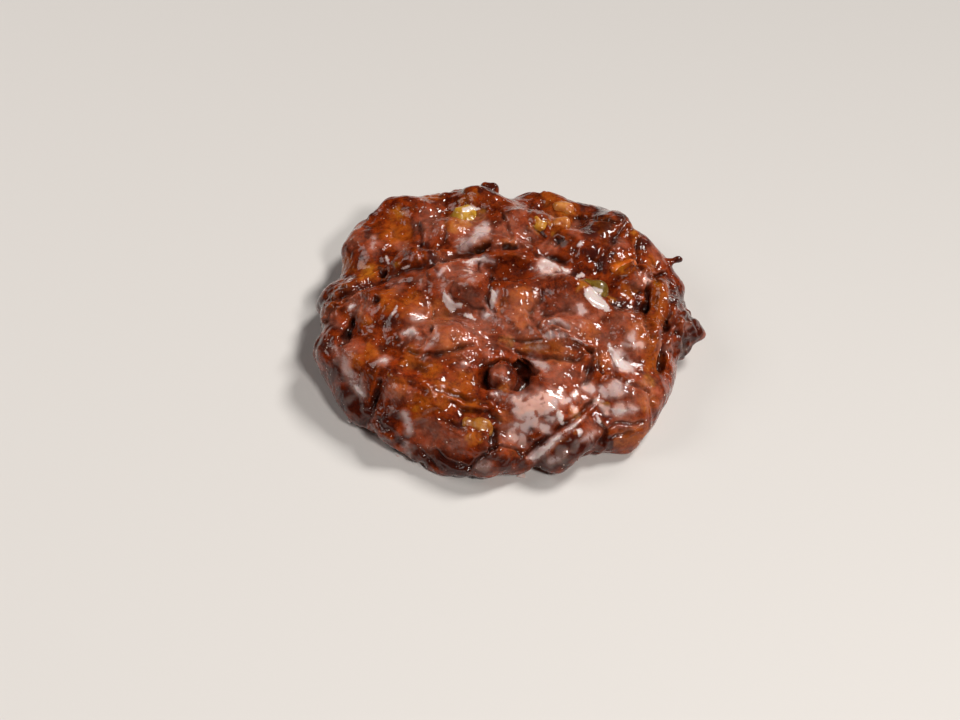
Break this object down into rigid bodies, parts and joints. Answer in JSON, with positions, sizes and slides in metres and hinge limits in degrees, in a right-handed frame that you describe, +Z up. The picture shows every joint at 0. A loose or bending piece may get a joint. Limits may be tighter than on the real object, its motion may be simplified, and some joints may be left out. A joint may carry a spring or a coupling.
{
  "type": "apple fritter",
  "caption": "Glazed apple fritter: a flat round cake of fused lumps of dark fried dough, creased and glossy, with dice of apple showing, resting on its flat underside.",
  "frame": {"origin": "middle of the flat underside, on the surface it rests on", "axes": "+Z up, +X to the right and +Y to the back as the cake lies in the picture"},
  "size_m": [0.1539, 0.1391, 0.0384],
  "materials": {
    "dough": "glazed fried crust",
    "apple": "glazed cooked apple"
  },
  "bodies": {
    "root": {"dough": "dough", "apple_back_left": "apple", "apple_back_middle": "apple", "apple_back_right": "apple", "apple_back_inner": "apple", "apple_right": "apple", "apple_right_sliver": "apple", "apple_front": "apple"}
  },
  "joints": []
}
